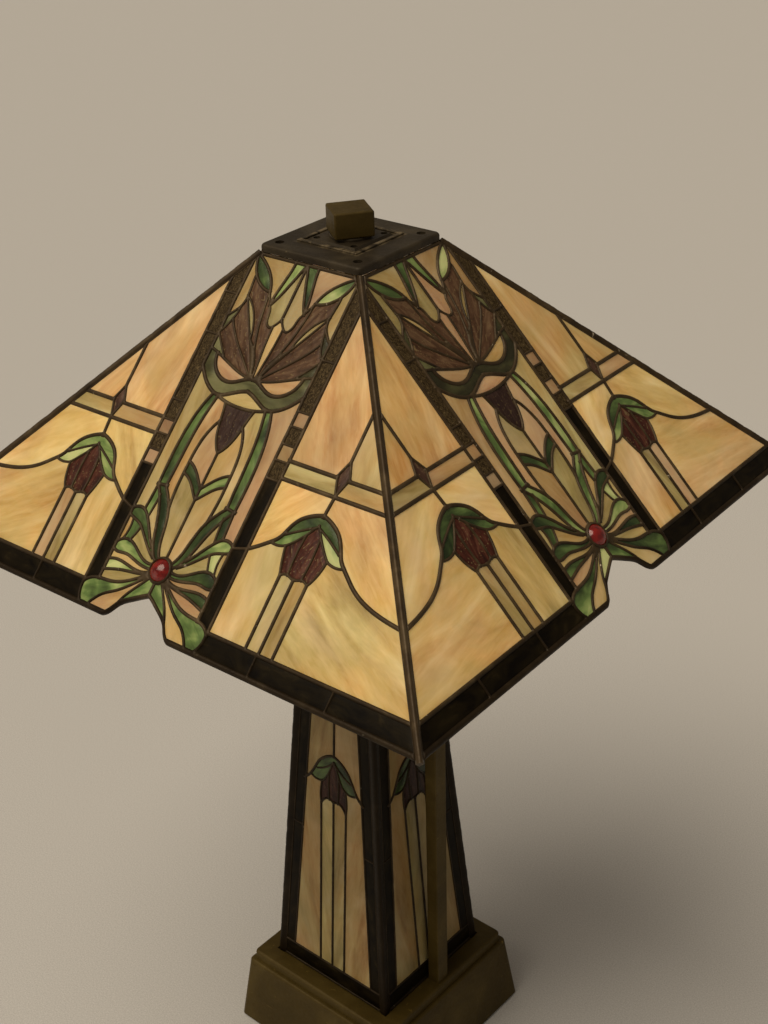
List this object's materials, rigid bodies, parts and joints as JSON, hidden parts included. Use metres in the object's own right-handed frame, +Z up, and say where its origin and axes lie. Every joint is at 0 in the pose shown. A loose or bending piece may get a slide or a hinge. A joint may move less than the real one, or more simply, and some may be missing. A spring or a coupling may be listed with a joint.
{
  "type": "table lamp",
  "caption": "Free-standing table lamp: square leaded-glass pyramid shade with a notched rim over a tapered leaded-glass column on a stepped metal base.",
  "frame": {"origin": "centre of the felt pad's underside, on the lamp's axis, at the height of the surface it stands on", "axes": "+Z up; the column's faces look along X and Y; the two posts stand on its +X and -X sides; the cord inlet and the base switch are in the back, +Y"},
  "size_m": [0.4262, 0.4262, 0.6504],
  "materials": {
    "came": "dark bronze patina on tin-lead solder",
    "amber_glass": "opalescent streaky amber and cream",
    "green_glass": "streaky green, light to dark",
    "flower_glass": "rippled brown-purple",
    "dark_glass": "near-black, gloss",
    "jewel_glass": "red pressed cabochon",
    "cap_bronze": "dark brown bronze",
    "bronze": "olive brown bronze, satin",
    "brass": "plain, dulled",
    "bulb_glass": "frosted white",
    "black_plastic": "moulded",
    "felt": "dark felt",
    "iron": "as cast",
    "steel": "zinc plated"
  },
  "bodies": {
    "root": {"base_casting": "bronze", "base_cover_plate": "steel", "base_platform": "bronze", "base_switch_body": "black_plastic", "bulb_back": "bulb_glass", "bulb_front": "bulb_glass", "bulb_sockets": "brass", "column_amber_glass": "amber_glass", "column_black_glass": "dark_glass", "column_came_back": "came", "column_came_front": "came", "column_came_left": "came", "column_came_right": "came", "column_corner_cames": "came", "column_leaf_glass": "green_glass", "column_lid": "bronze", "column_petal_glass": "flower_glass", "cord_inlet_bush": "black_plastic", "counterweight": "iron", "cover_screws": "steel", "felt_pad": "felt", "lamp_rod": "brass", "lock_nuts": "brass", "night_light_bulb": "bulb_glass", "night_light_socket": "black_plastic", "post_left": "bronze", "post_right": "bronze", "shade_seat": "brass", "socket_cluster": "brass", "yoke": "bronze"},
    "shade": {"shade_amber_glass_back": "amber_glass", "shade_amber_glass_front": "amber_glass", "shade_amber_glass_left": "amber_glass", "shade_amber_glass_right": "amber_glass", "shade_came_back": "came", "shade_came_front": "came", "shade_came_left": "came", "shade_came_right": "came", "shade_cap": "cap_bronze", "shade_dark_glass_back": "dark_glass", "shade_dark_glass_front": "dark_glass", "shade_dark_glass_left": "dark_glass", "shade_dark_glass_right": "dark_glass", "shade_flower_glass_back": "flower_glass", "shade_flower_glass_front": "flower_glass", "shade_flower_glass_left": "flower_glass", "shade_flower_glass_right": "flower_glass", "shade_green_glass_back": "green_glass", "shade_green_glass_front": "green_glass", "shade_green_glass_left": "green_glass", "shade_green_glass_right": "green_glass", "shade_hip_cames": "came", "jewels": "jewel_glass", "jewel_bezels": "came", "cap_washer": "cap_bronze"},
    "finial": {"finial": "bronze"},
    "key_front": {"socket_key_front": "black_plastic"},
    "key_back": {"socket_key_back": "black_plastic"},
    "switch_knob": {"base_switch_knob": "black_plastic"}
  },
  "joints": [
    {"name": "shade_swivel", "type": "hinge", "parent": "root", "child": "shade", "pos_m": [0, 0, 0.46], "axis": [0, 0, 1], "continuous": true},
    {"name": "finial_turn", "type": "hinge", "parent": "root", "child": "finial", "pos_m": [0, 0, 0.63], "axis": [0, 0, 1], "continuous": true},
    {"name": "key_front_turn", "type": "hinge", "parent": "root", "child": "key_front", "pos_m": [-0.03, -0.038, 0.486], "axis": [-1, 0, 0], "continuous": true},
    {"name": "key_back_turn", "type": "hinge", "parent": "root", "child": "key_back", "pos_m": [-0.03, 0.038, 0.486], "axis": [-1, 0, 0], "continuous": true},
    {"name": "base_switch_turn", "type": "hinge", "parent": "root", "child": "switch_knob", "pos_m": [0.03, 0.075, 0.028], "axis": [0, 1, 0], "range_deg": [0, 90]}
  ]
}
